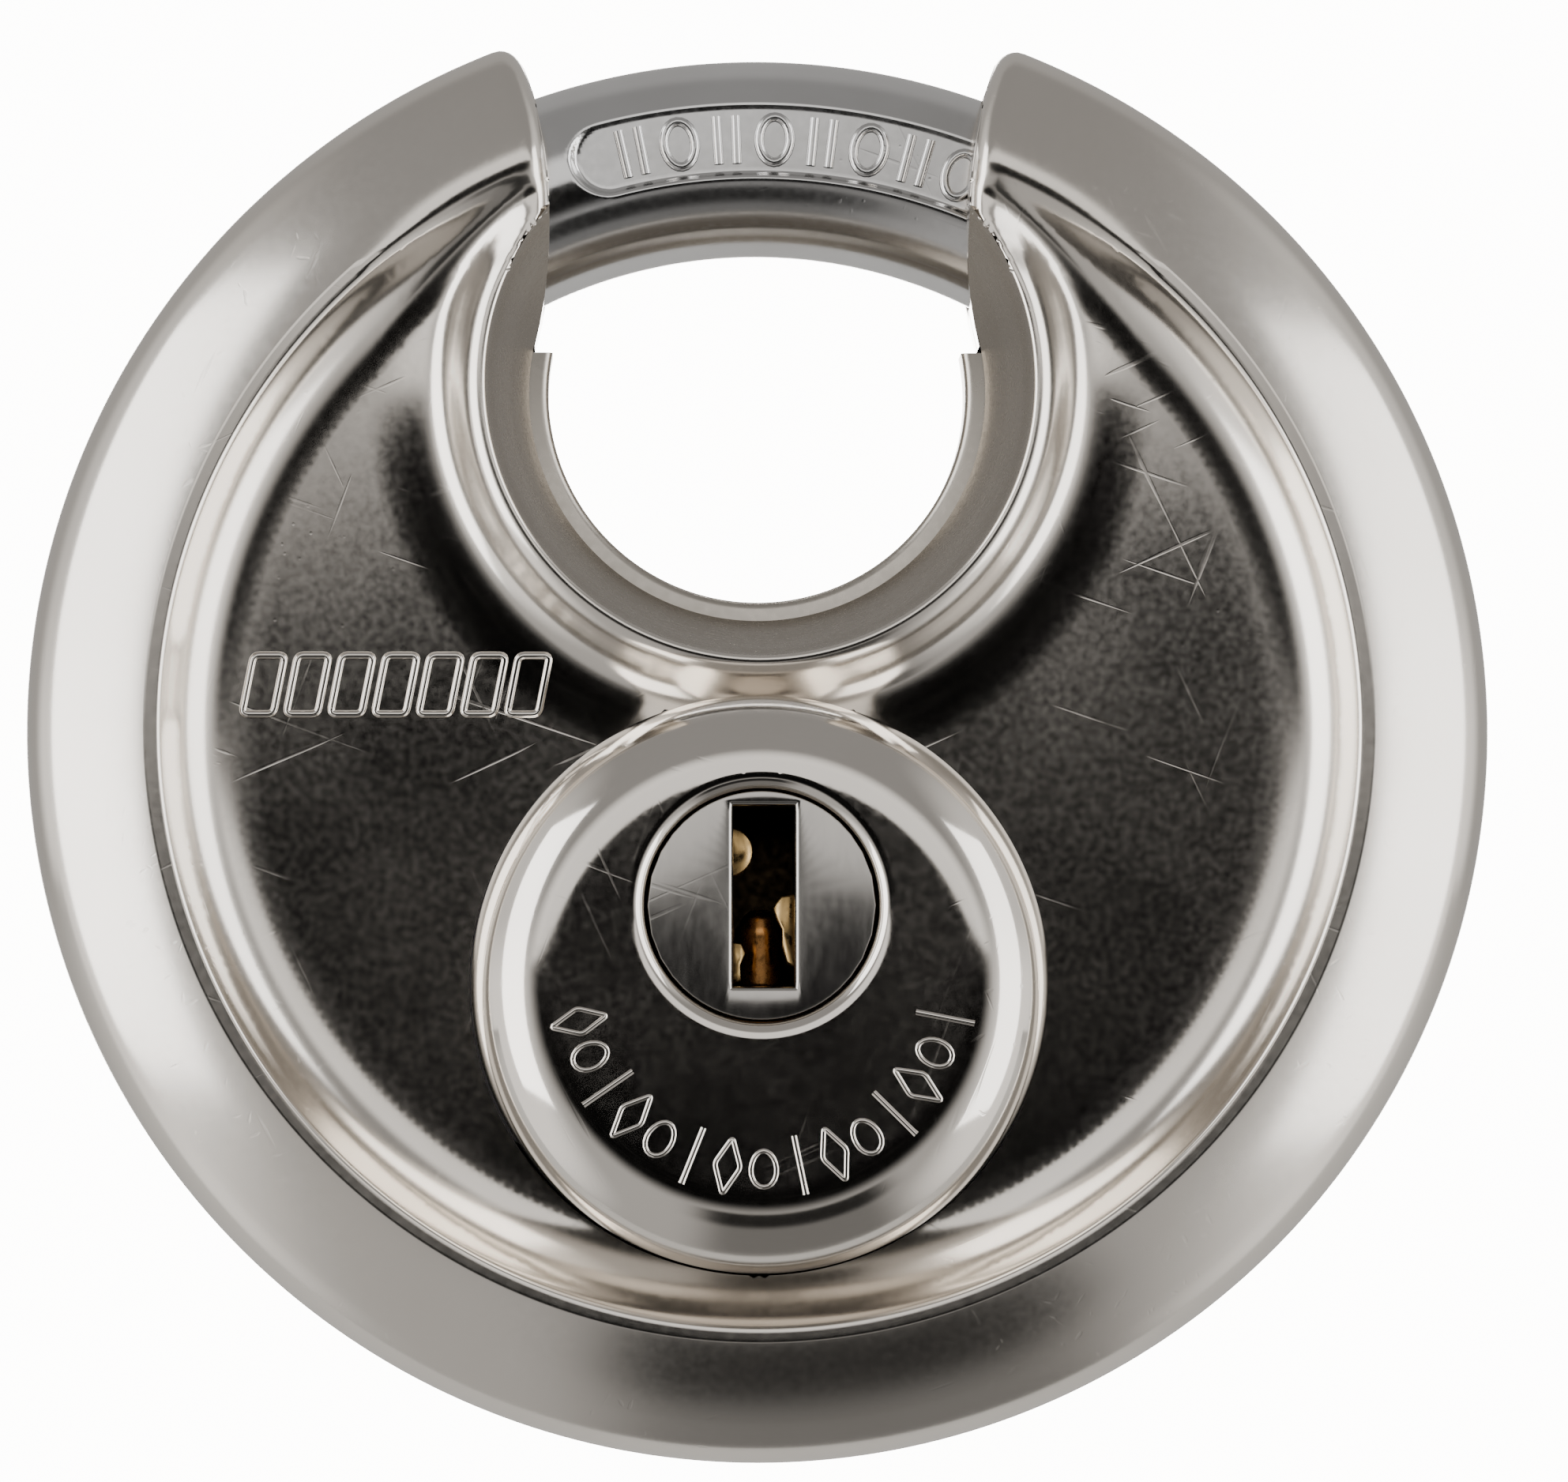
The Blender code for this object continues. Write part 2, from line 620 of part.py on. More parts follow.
def spring_between(name, foot, top, depth):
    """A coil spring standing up in the chamber."""
    curve = bpy.data.curves.new(name, "CURVE")
    curve.dimensions = "3D"
    curve.bevel_depth = SPRING_WIRE
    curve.bevel_resolution = 1
    curve.use_fill_caps = True
    spline = curve.splines.new("POLY")
    count = round(SPRING_TURNS * 9)
    spline.points.add(count)
    low, high = foot + SPRING_WIRE, top - SPRING_WIRE
    for i, point in enumerate(spline.points):
        turn = 2 * math.pi * SPRING_TURNS * i / count
        height = low + (high - low) * i / count
        point.co = (SPRING_R * math.cos(turn), height, depth + SPRING_R * math.sin(turn), 1)
    solid_from_curve(name, curve, SPRING_STEEL)


def make_lock_body():
    """The casting that fills the disc inside the shackle and carries the cylinder."""
    body = rod("lock_body", BODY_R, -BODY_DEPTH, BODY_DEPTH, ZINC, steps=72)
    flange_r = BOSS_R + FLANGE_WIDE + GAP
    flange_foot = FLOOR_DEPTH - WALL - FLANGE_THICK - 2 * GAP
    boolean(body, rod("flange_room", flange_r, flange_foot, 0.01, at=(0, BOSS_UP), steps=48))
    boolean(body, prism("housing_room", housing_outline(GAP, -BODY_R - 0.001), HOUSING_BACK - 0.0008, 0.01))
    boolean(body, rod("hole_room", RING_OUT_R + WALL + 0.0008, -0.01, 0.01, at=(0, HOLE_UP), steps=64))
    pocket_front = CRANK_FRONT + GAP
    swept = abs(PLUG_UP) + 0.0026
    crank_room = rod("crank_room", swept, -0.01, pocket_front, at=(0, PLUG_UP), steps=48)
    above_crank = box("above_crank", (-0.02, PLUG_UP + 0.0046, -0.02), (0.02, 0.02, 0.01))
    boolean(crank_room, above_crank)
    boolean(body, crank_room)
    spare_deg = 22.0
    first = 180 - SWING_DEG / 2 - spare_deg
    last = 180 + SWING_DEG / 2 + spare_deg
    sector = [on_disc(0.0045, first), on_disc(0.0045, last)]
    sector += [on_disc(0.026, last + (first - last) * i / 12) for i in range(13)]
    boolean(body, prism("arm_room", sector, -0.01, pocket_front - 0.0001))
    smooth(body)


clear_scene()
PARTS = new_collection("disc_padlock")
CUTTERS = new_collection("cutters")
DISC = new_empty("disc_centre", (0, 0, -(TRACK_R - SHACKLE_D / 2)))
DISC.rotation_euler = (math.pi / 2, 0, 0)
PLUG_AXIS = new_empty("plug_axis", (0, PLUG_UP, 0), DISC)
make_case()
make_shackle()
make_crank()
make_plug()
make_housing()
make_lock_body()
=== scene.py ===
"""Looks for the disc padlock: a fine mesh and a procedural material for every piece that shows.

Lengths below are in millimetres, measured from the disc's centre: x right, u up, d depth out of the
keyed face. to_row() turns them into the row frame.
"""

import json
import math

import bmesh
import bpy
import numpy as np
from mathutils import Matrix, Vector
from mathutils.geometry import delaunay_2d_cdt

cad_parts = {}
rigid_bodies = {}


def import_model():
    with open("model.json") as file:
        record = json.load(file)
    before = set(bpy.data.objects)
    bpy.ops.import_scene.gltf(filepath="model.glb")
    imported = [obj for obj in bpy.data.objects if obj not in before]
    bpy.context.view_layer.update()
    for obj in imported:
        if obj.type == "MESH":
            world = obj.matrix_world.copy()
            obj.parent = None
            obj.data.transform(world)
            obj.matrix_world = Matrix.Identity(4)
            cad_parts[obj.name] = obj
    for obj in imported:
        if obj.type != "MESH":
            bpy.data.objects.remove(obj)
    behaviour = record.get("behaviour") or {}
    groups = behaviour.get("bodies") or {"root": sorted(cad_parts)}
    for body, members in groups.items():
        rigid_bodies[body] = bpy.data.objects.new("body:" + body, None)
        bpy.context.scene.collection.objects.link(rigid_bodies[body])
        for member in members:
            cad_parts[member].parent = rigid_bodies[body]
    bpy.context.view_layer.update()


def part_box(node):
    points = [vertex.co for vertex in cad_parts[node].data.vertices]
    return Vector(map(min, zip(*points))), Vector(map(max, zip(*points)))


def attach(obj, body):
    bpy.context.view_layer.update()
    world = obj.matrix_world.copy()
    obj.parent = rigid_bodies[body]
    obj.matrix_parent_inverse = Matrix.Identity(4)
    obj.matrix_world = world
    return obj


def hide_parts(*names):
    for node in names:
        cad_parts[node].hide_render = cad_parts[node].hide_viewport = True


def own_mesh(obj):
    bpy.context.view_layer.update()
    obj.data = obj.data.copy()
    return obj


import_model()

CENTRE_Z = -0.0232
TRACK_R = 27.95
BAR_R = 4.75
HOLE_U = 16.4
CREST_R = 13.05
FUNNEL_FOOT = 2.35
BOSS_U = -12.25
BOSS_R = 13.65
PLUG_U = -8.65
PLUG_HOLE_R = 5.7
FACE_R = 5.36
SPLIT_R = 31.0  # inside it the face is mapped by radius, outside it by length along the section
SEAM = 0.15
RIM_R = 34.95
DISH_D = 7.3
FLAT_FRONT_D = 9.97  # the rim's crest and the rear pad are no deeper than this
JAW_GAP = 10.0  # half the gap between the horns where it is narrowest
JAW_U = 24.3  # the height at which it is narrowest
JAW_BEND = 22.0  # radius of the jaws' curve
JAW_FOOT_U = 22.0
SHACKLE_HOLE_U = 26.0
PANEL_R = 28.5
PANEL_D = 4.12
CAP_FRONT_D = 14.47
FACE_FRONT_D = 14.18
SLOT_U = PLUG_U + 0.43


def to_row(points, back=False):
    """Face coordinates in millimetres to the row frame. back mirrors depth to the other side."""
    points = np.asarray(points, float)
    out = np.empty_like(points)
    out[:, 0] = points[:, 0]
    out[:, 1] = points[:, 2] if back else -points[:, 2]
    out[:, 2] = points[:, 1]
    out /= 1000
    out[:, 2] += CENTRE_Z
    return out


# ---------------------------------------------------------------- sections


def arc(centre, radius, start_deg, end_deg, steps):
    angles = np.radians(np.linspace(start_deg, end_deg, steps + 1))
    return [(centre[0] + radius * math.cos(a), centre[1] + radius * math.sin(a)) for a in angles]


def rounded(points, reach):
    """The polyline resampled finely, with its corners rounded over about that length."""
    points = np.asarray(points, float)
    lengths = np.r_[0, np.cumsum(np.hypot(*np.diff(points, axis=0).T))]
    step = 0.02
    s = np.arange(0, lengths[-1], step)
    fine = np.stack([np.interp(s, lengths, points[:, k]) for k in range(2)], 1)
    half = int(2.5 * reach / step)
    weight = np.exp(-0.5 * (np.arange(-half, half + 1) * step / reach) ** 2)
    weight /= weight.sum()
    # Ends are carried on in a straight line, so that they stay where they are.
    before = fine[0] + (fine[0] - fine[1]) * np.arange(half, 0, -1)[:, None]
    after = fine[-1] + (fine[-1] - fine[-2]) * np.arange(1, half + 1)[:, None]
    padded = np.vstack([before, fine, after])
    return np.stack([np.convolve(padded[:, k], weight, "valid") for k in range(2)], 1)


def rim_section():
    points = [(0, DISH_D)] + arc((24.9, 10.7), 3.4, -90, -27, 16)
    points += [(28.4, 9.9)]
    points += [(28.75 + 4.6 * t, 10.08 - 2.08 * t + 0.6 * t * (1 - t)) for t in np.linspace(0, 1, 12)]
    points += arc((31.55, 5.12), 3.4, 58, 0, 24)
    points += [(RIM_R, SEAM)]
    return rounded(points, 0.22)


RIM = rim_section()
SOFT_RIM = rounded(RIM[::10], 0.75)
RIM_S = np.r_[0, np.cumsum(np.hypot(*np.diff(RIM, axis=0).T))]
SPLIT_S = np.interp(SPLIT_R, RIM[:, 0], RIM_S)
RHO_MAX = SPLIT_R + RIM_S[-1] - SPLIT_S


def rim_at(rho):
    """(radius, depth) of the pressed section at that mapped radius."""
    rho = np.asarray(rho, float)
    s = np.where(rho <= SPLIT_R, np.interp(rho, RIM[:, 0], RIM_S), SPLIT_S + rho - SPLIT_R)
    radius = np.where(rho <= SPLIT_R, rho, np.interp(s, RIM_S, RIM[:, 0]))
    return radius, np.interp(s, RIM_S, RIM[:, 1])


def rho_of(radius):
    """The mapped radius of a true radius, on the rising part of the section."""
    radius = np.asarray(radius, float)
    s = np.interp(radius, RIM[:, 0], RIM_S)
    return np.where(radius <= SPLIT_R, radius, SPLIT_R + s - SPLIT_S)


# Round the hole: a flat crest, a slope, and a last stretch that dives under the dish.
COLLAR = [(0, 9.9), (13.35, 9.8), (13.8, 9.55), (15.2, 7.75), (15.7, 7.35), (16.6, 6.9), (40, -3)]
COLLAR = rounded(COLLAR, 0.28)
SOFT_COLLAR = rounded(COLLAR[COLLAR[:, 0] < 24][::10], 0.8)
# The raised pad on the back, with a round shoulder.
PAD = [(0, 9.96), (11.2, 9.96)] + arc((11.2, 7.76), 2.2, 90, 5, 12) + [(13.5, 5), (16, -30)]
PAD = rounded(PAD, 0.08)


def soft_max(a, b, reach):
    near = np.maximum(reach - np.abs(a - b), 0)
    return np.maximum(a, b) + near * near / (4 * reach)


def jaw_x(u):
    """Half the gap between the horns at that height."""
    return JAW_GAP + (u - JAW_U) ** 2 / (2 * JAW_BEND)


def roll(distance, radius):
    """How far a face has dropped at that distance from the edge it rolls into."""
    t = np.clip(radius - distance, 0, radius * 0.985)
    return radius - np.sqrt(radius * radius - t * t)


def jaw_distance(x, u):
    """How far a point is from the horn's edge. Below the jaws it grows quickly with depth."""
    slope = (u - JAW_U) / JAW_BEND
    inside = (np.abs(x) - jaw_x(u)) / np.sqrt(1 + slope * slope)
    below = JAW_FOOT_U - u
    return np.where(below < 0, inside, np.hypot(np.maximum(inside, 0), np.maximum(below, 0)) + below * 0.2)


def tip_share(x, u, rho):
    """How far the rim is drawn in where a horn's tip rolls over."""
    outer = np.clip((rho - SPLIT_R) / 2.5, 0, 1)
    return 1 - outer * roll(jaw_distance(x, u), 1.1) / 35


def face_map(px, pu, back):
    """Mapped plane coordinates to (x, u, d) on the pressed face of a shell."""
    rho = np.hypot(px, pu)
    radius, rim = rim_at(rho)
    scale = np.where(rho > 1e-9, radius / np.maximum(rho, 1e-9), 1.0)
    x, u = px * scale, pu * scale
    hole = np.hypot(x, u - HOLE_U)
    depth = soft_max(rim, np.interp(hole, COLLAR[:, 0], COLLAR[:, 1]), 1.3)
    soft_rim = np.interp(radius, SOFT_RIM[:, 0], SOFT_RIM[:, 1])
    soft = soft_max(soft_rim, np.interp(hole, SOFT_COLLAR[:, 0], SOFT_COLLAR[:, 1]), 2.0)
    # The rim's crease dies away towards the horns' ends.
    clock = np.degrees(np.abs(np.arctan2(x, u)))
    near_horn = np.clip((42 - clock) / 14, 0, 1)
    share = near_horn * np.clip((rho - 24) / 2, 0, 1) * np.clip((33 - rho) / 1.5, 0, 1)
    share = share * share * (3 - 2 * share)
    depth = depth + (soft - depth) * share
    if back:
        pad = np.interp(np.hypot(x, u - BOSS_U), PAD[:, 0], PAD[:, 1])
        depth = soft_max(depth, pad, 0.5)
    depth = np.where(rho > SPLIT_R + 2.2, rim, np.minimum(depth, FLAT_FRONT_D))
    drop = np.where(depth > 4, roll(hole - CREST_R, 0.35), 0)
    fade = np.clip((depth - 1.0) / 4.0, 0, 1)
    depth = depth - soft_max(drop, roll(jaw_distance(x, u), 1.25) * fade, 0.3)
    tip = tip_share(x, u, rho)
    return np.stack([x * tip, u * tip, depth], 1)


# ---------------------------------------------------------------- meshes


def add_mesh(name, points, faces, material, normals=None, back=False, turn=False):
    """A mesh object in the row frame, smooth, with the given normals where there are any."""
    mesh = bpy.data.meshes.new(name)
    flip = back != turn
    faces = [tuple(reversed(f)) if flip else tuple(f) for f in faces]
    mesh.from_pydata(to_row(points, back).tolist(), [], faces)
    mesh.shade_smooth()
    if normals is not None:
        rows = np.stack([normals[:, 0], normals[:, 2] if back else -normals[:, 2], normals[:, 1]], 1)
        mesh.normals_split_custom_set_from_vertices(rows.tolist())
    mesh.materials.append(material)
    mesh.validate()
    obj = bpy.data.objects.new(name, mesh)
    bpy.context.scene.collection.objects.link(obj)
    return obj


def normals_of(surface, a, b, step=0.02):
    """Unit normals of a mapped surface, by central differences."""
    da = surface(a + step, b) - surface(a - step, b)
    db = surface(a, b + step) - surface(a, b - step)
    normal = np.cross(da, db)
    return normal / np.maximum(np.linalg.norm(normal, axis=1), 1e-12)[:, None]


def thin_out(groups, spacing):
    """Joins groups of plane points in order, and drops any that crowd one already kept."""
    cells = {}
    kept = []
    size = max(spacing)
    for group, gap in zip(groups, spacing):
        fresh = []
        for x, y in group:
            cx, cy = int(math.floor(x / size)), int(math.floor(y / size))
            crowded = any(
                (x - ox) ** 2 + (y - oy) ** 2 < gap * gap
                for i in (-1, 0, 1)
                for j in (-1, 0, 1)
                for ox, oy in cells.get((cx + i, cy + j), ())
            )
            if not crowded:
                fresh.append((x, y))
        for x, y in fresh:
            cells.setdefault((int(math.floor(x / size)), int(math.floor(y / size))), []).append((x, y))
        kept += fresh
    return np.array(kept)


def ring(radius, count, centre=(0, 0), turn=0.0):
    angles = np.linspace(0, 2 * math.pi, count, endpoint=False) + turn
    return [(centre[0] + radius * math.sin(a), centre[1] + radius * math.cos(a)) for a in angles]


def triangulate(points, keep):
    """Triangles over plane points, for those whose middle passes keep(x, y)."""
    result = delaunay_2d_cdt([Vector(p) for p in points], [], [], 0, 1e-7)
    verts = np.array([tuple(v) for v in result[0]])
    faces = np.array(result[2])
    middle = verts[faces].mean(axis=1)
    return verts, faces[keep(middle[:, 0], middle[:, 1])]


def mapped_mesh(name, surface, points, keep, material, back=False):
    """A mesh over plane points, mapped by surface, with the surface's own normals."""
    verts, faces = triangulate(points, keep)
    used = np.unique(faces)
    index = np.full(len(verts), -1)
    index[used] = np.arange(len(used))
    px, pu = verts[used].T
    return add_mesh(name, surface(px, pu), index[faces].tolist(), material, normals_of(surface, px, pu), back)


def grid_faces(rows, columns, closed=False):
    faces = []
    last = columns if closed else columns - 1
    for i in range(rows - 1):
        for j in range(last):
            k = (j + 1) % columns
            faces.append((i * columns + j, i * columns + k, (i + 1) * columns + k, (i + 1) * columns + j))
    return faces


def strip(name, rows, material, closed=False, back=False, turn=False):
    """A surface through equal rows of points."""
    rows = np.array(rows)
    faces = grid_faces(rows.shape[0], rows.shape[1], closed)
    return add_mesh(name, rows.reshape(-1, 3), faces, material, None, back, turn)


def join(name, objs, body, nodes, sharp=None):
    """Joins pieces into one object that rides on a body and stands for CAD nodes."""
    bpy.context.view_layer.update()
    for obj in bpy.context.view_layer.objects:
        obj.select_set(False)
    for obj in objs:
        obj.select_set(True)
    bpy.context.view_layer.objects.active = objs[0]
    if len(objs) > 1:
        bpy.ops.object.join()
    made = objs[0]
    made.name = name
    if sharp is not None:
        made.data.set_sharp_from_angle(angle=math.radians(sharp))
    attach(made, body)
    for node in nodes:
        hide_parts(node)
    return made


# ---------------------------------------------------------------- shells


def jaw_line_mapped(side, offset):
    """Points beside a jaw, in the mapped plane, from the hole up and over the rim."""
    points = []
    for u in np.arange(19.0, 34.0, 0.3):
        slope = (u - JAW_U) / JAW_BEND
        length = math.hypot(1, slope)
        x = jaw_x(u) + offset / length
        v = u - offset * slope / length
        if math.hypot(x, v) < 34.5:
            rho = float(rho_of(math.hypot(x, v)))
            points.append((side * x * rho / math.hypot(x, v), v * rho / math.hypot(x, v)))
    # Beyond that the rim turns down to the seam, and its own length is the better measure.
    start = float(rho_of(34.4))
    for rho in np.linspace(start, RHO_MAX, 22):
        radius = float(rim_at(rho)[0])
        u = 32.5
        for _ in range(30):
            x = jaw_x(u) + offset
            u = math.sqrt(radius * radius - x * x)
        points.append((side * x * rho / radius, u * rho / radius))
    return points


def real_position(px, pu):
    rho = np.hypot(px, pu)
    scale = rim_at(rho)[0] / np.maximum(rho, 1e-9)
    return px * scale, pu * scale


def shell_face(name, back, material):
    """The pressed face of one shell, out to the seam."""
    edge = [p for p in ring(CREST_R, 200, (0, HOLE_U)) if abs(p[0]) > jaw_x(p[1]) or p[1] < 19]
    edge += jaw_line_mapped(1, 0) + jaw_line_mapped(-1, 0)
    boss = [] if back else ring(BOSS_R + 0.12, 180, (0, BOSS_U))
    near_jaw = []
    for offset in (0.04, 0.12, 0.25, 0.42, 0.62, 0.88, 1.25, 1.7):
        near_jaw += jaw_line_mapped(1, offset) + jaw_line_mapped(-1, offset)
    near_hole = []
    close = (0.05, 0.14, 0.25, 0.38, 0.55, 0.8, 1.05, 1.3, 1.6, 1.9, 2.2, 2.5, 2.8, 3.1)
    for offset in close + (3.5, 3.9, 4.3, 4.7, 5.1, 5.5, 5.9):
        near_hole += ring(CREST_R + offset, 200, (0, HOLE_U))
    near_boss = []
    if back:
        shoulder = (10.6, 11.2, 11.6, 12.0, 12.4, 12.7, 12.9, 13.05, 13.15, 13.23, 13.3)
        for radius in shoulder + (13.36, 13.42, 13.5, 13.62, 13.85, 14.1, 14.5):
            near_boss += ring(radius, 220, (0, BOSS_U))
    radii = list(np.arange(22.0, 24.6, 0.65)) + list(np.arange(24.6, 30.6, 0.26))
    radii += list(np.linspace(30.7, RHO_MAX, 24))
    rim = []
    for i, rho in enumerate(radii):
        rim += ring(rho, 300, turn=(i % 2) * math.pi / 300)
    crest = []
    for rho in (27.9, 28.1, 28.3, 28.45, 28.6, 28.75, 28.9, 29.05, 29.2, 29.4, 29.6):
        crest += ring(rho, 360)
    flat = [(x, y) for x in np.arange(-22, 22, 1.0) for y in np.arange(-23, 23, 1.0)]
    groups = [edge, boss, near_jaw, near_boss, near_hole, crest, rim, flat]
    points = thin_out(groups, [0.01, 0.1, 0.03, 0.05, 0.12, 0.1, 0.25, 0.8])

    def keep(px, pu):
        x, u = real_position(px, pu)
        inside = np.hypot(px, pu) < RHO_MAX + 0.01
        hole = np.hypot(x, u - HOLE_U) > CREST_R - 0.004
        jaw = (np.abs(x) > jaw_x(u) - 0.004) | (u < JAW_FOOT_U)
        if back:
            return inside & hole & jaw
        return inside & hole & jaw & (np.hypot(x, u - BOSS_U) > BOSS_R + 0.1)

    return mapped_mesh(name, lambda a, b: face_map(a, b, back), points, keep, material, back)


FUNNEL = rounded([(13.05, 9.46), (12.95, 9.0), (12.6, 7.9), (11.9, 5.4), (10.95, FUNNEL_FOOT)], 0.15)


def jaw_meets(radius):
    """Height at which a circle round the hole meets the jaw."""
    u = 20.0 if radius < 11.9 else 24.0
    for _ in range(60):
        x = jaw_x(u)
        u = 0.5 * u + 0.5 * (HOLE_U + math.sqrt(max(radius * radius - x * x, 0.05)))
    return u


def funnel(name, back, material):
    rows = []
    for radius, depth in FUNNEL[:: max(1, len(FUNNEL) // 26)]:
        u = jaw_meets(radius)
        end = math.atan2(jaw_x(u), u - HOLE_U)
        angles = np.linspace(end, 2 * math.pi - end, 160)
        rows.append([(radius * math.sin(a), HOLE_U + radius * math.cos(a), depth) for a in angles])
    return strip(name, rows, material, back=back, turn=True)


def jaw_outline(back):
    """(x, u, d) round the end wall of a horn: down the rim, along the front edge and down the flare."""
    points = []
    for rho in np.linspace(RHO_MAX, float(rho_of(34.0)), 16):
        radius, depth = rim_at(rho)
        u = 32.5
        for _ in range(30):
            u = math.sqrt(float(radius) ** 2 - jaw_x(u) ** 2)
        point = face_map(*(np.array([v * rho / float(radius)]) for v in (jaw_x(u), u)), back)[0]
        points.append(tuple(point))
    top = points[-1][1]
    for u in np.linspace(top, jaw_meets(CREST_R), 50)[1:]:
        x = jaw_x(u)
        radius = math.hypot(x, u)
        rho = float(rho_of(radius))
        point = face_map(np.array([x * rho / radius]), np.array([u * rho / radius]), back)[0]
        points.append(tuple(point))
    for radius, depth in FUNNEL[:: max(1, len(FUNNEL) // 14)]:
        u = jaw_meets(radius)
        points.append((jaw_x(u), u, depth))
    points += [(jaw_x(18.7), 18.7, depth) for depth in (FUNNEL_FOOT - 0.1, 1.2, SEAM)]
    return points


def horn_end(name, back, side, material):
    """The end wall of a horn with the round hole the shackle runs through."""
    rows = [[], [], [], [], []]
    outline = jaw_outline(back)
    for x, u, d in outline:
        angle = math.atan2(max(d, 0.02), u - SHACKLE_HOLE_U)
        near_u, near_d = SHACKLE_HOLE_U + 5.35 * math.cos(angle), 5.1 * math.sin(angle)
        for k, share in enumerate((0.0, 0.35, 0.7, 1.0)):
            v = u + (near_u - u) * share
            rows[k].append((side * (jaw_x(v) + (x - jaw_x(u)) * (1 - share)), v, d + (near_d - d) * share))
        rows[4].append((side * (jaw_x(near_u) + 1.6), near_u - 0.75, near_d))
    return strip(name, rows, material, back=back, turn=side > 0)


def seam_lip(name, back, material):
    """The edge of the shell at the seam, turned a little inwards."""
    u = 32.6
    for _ in range(30):
        u = math.sqrt(RIM_R**2 - jaw_x(u) ** 2)
    end = math.atan2(jaw_x(u), u)
    angles = np.linspace(end, 2 * math.pi - end, 300)
    rows = []
    for radius, depth in ((RIM_R, SEAM), (33.6, SEAM), (33.4, 1.5)):
        row = []
        for a in angles:
            x, u = radius * math.sin(a), radius * math.cos(a)
            tip = float(tip_share(np.array(x), np.array(u), np.array(RHO_MAX)))
            row.append((x * tip, u * tip, depth))
        rows.append(row)
    return strip(name, rows, material, back=back, turn=True)


def make_shell(name, back, material):
    # Each shell's flare takes the darkened steel, whose colour is painted shade in the hole's throat.
    pieces = [shell_face(name, back, material), funnel(name + "_flare", back, SHADED_FLARE_STEEL)]
    pieces += [horn_end(f"{name}_end_{side}", back, side, material) for side in (-1, 1)]
    pieces.append(seam_lip(name + "_lip", back, material))
    return join(name + "_skin", pieces, "lock_case", [name])


# ---------------------------------------------------------------- cylinder cap


CAP = rounded([(0, CAP_FRONT_D)] + arc((9.65, 10.47), 4.0, 90, 0, 30) + [(BOSS_R, 5.6)], 0.12)
CAP_S = np.r_[0, np.cumsum(np.hypot(*np.diff(CAP, axis=0).T))]


def cap_map(px, pu):
    rho = np.hypot(px, pu)
    radius = np.interp(rho, CAP_S, CAP[:, 0])
    depth = np.interp(rho, CAP_S, CAP[:, 1])
    scale = np.where(rho > 1e-9, radius / np.maximum(rho, 1e-9), 1.0)
    x, u = px * scale, pu * scale
    plug = np.hypot(x, u - (PLUG_U - BOSS_U))
    depth = depth - roll(plug - PLUG_HOLE_R + 0.25, 0.75)
    return np.stack([x, u + BOSS_U, depth], 1)


def make_cap(material):
    rise = PLUG_U - BOSS_U
    edge_r = PLUG_HOLE_R - 0.24
    edge = ring(edge_r, 160, (0, rise))
    near = []
    for offset in (0.03, 0.09, 0.17, 0.27, 0.38, 0.5, 0.64, 0.85, 1.15, 1.6):
        near += ring(edge_r + offset, 160, (0, rise))
    rows = []
    top = CAP_S[-1]
    for rho in list(np.arange(8.6, top, 0.2)) + [top]:
        rows += ring(rho, 220)
    flat = [(x, y) for x in np.arange(-9, 9, 0.9) for y in np.arange(-9, 9, 0.9)]
    points = thin_out([edge, near, rows, flat], [0.01, 0.02, 0.14, 0.6])
    keep = lambda x, y: (np.hypot(x, y) < top + 0.01) & (np.hypot(x, y - rise) > edge_r - 0.004)
    pieces = [mapped_mesh("cap", cap_map, points, keep, material)]
    lip = cap_map(np.array([0.0]), np.array([rise - edge_r]))[0][2]
    wall = []
    for depth in (lip, lip - 0.5, 12.9):
        wall.append([(x, y + BOSS_U, depth) for x, y in ring(edge_r, 160, (0, rise))])
    pieces.append(strip("cap_wall", wall, material, closed=True, turn=True))
    return join("cylinder_cap_skin", pieces, "lock_case", ["cylinder_cap"])


# ---------------------------------------------------------------- shackle and ring


def bar_point(clock, around):
    """A point on the shackle; around runs from the outer side, over the front."""
    out = BAR_R * math.cos(around)
    depth = BAR_R * math.sin(around)
    radius = TRACK_R + out
    # Pressed panel on the front, with a round left end, running in behind the right horn.
    if depth > 3.2:
        along = math.radians(clock + 14.6) * 28.4
        across = radius - PANEL_R
        reach = 1.72 - math.hypot(min(along, 0), across)
        press = min(max(reach / 0.34 + 0.5, 0), 1)
        press = press * press * (3 - 2 * press)
        floor = min(depth, PANEL_D)
        depth += (floor - depth) * press
    angle = math.radians(clock)
    return radius * math.sin(angle), radius * math.cos(angle), depth


def make_shackle(material):
    nose, tail = -46, 156
    clocks = list(np.arange(nose, -25, 1.5)) + list(np.arange(-25, 26, 0.3))
    clocks += list(np.arange(26, tail + 0.1, 1.5))
    arounds = list(np.radians(np.arange(-180, 40, 6.0))) + list(np.radians(np.arange(40, 140, 1.6)))
    arounds += list(np.radians(np.arange(140, 180, 6.0)))
    rows = [[bar_point(c, a) for a in arounds] for c in clocks]
    # Rings that shrink to a point close both ends.
    for end, clock, shrink in ((0, nose, (0.93, 0.8, 0.0)), (-1, tail, (0.9, 0.0))):
        angle = math.radians(clock)
        middle = np.array([TRACK_R * math.sin(angle), TRACK_R * math.cos(angle), 0])
        base = np.array(rows[end])
        for share in shrink:
            row = middle + (base - middle) * share
            if end == 0:
                rows.insert(0, row)
            else:
                rows.append(row)
    body = strip("bar", rows, material, closed=True)
    return join("shackle_skin", [body], "shackle", ["shackle"])


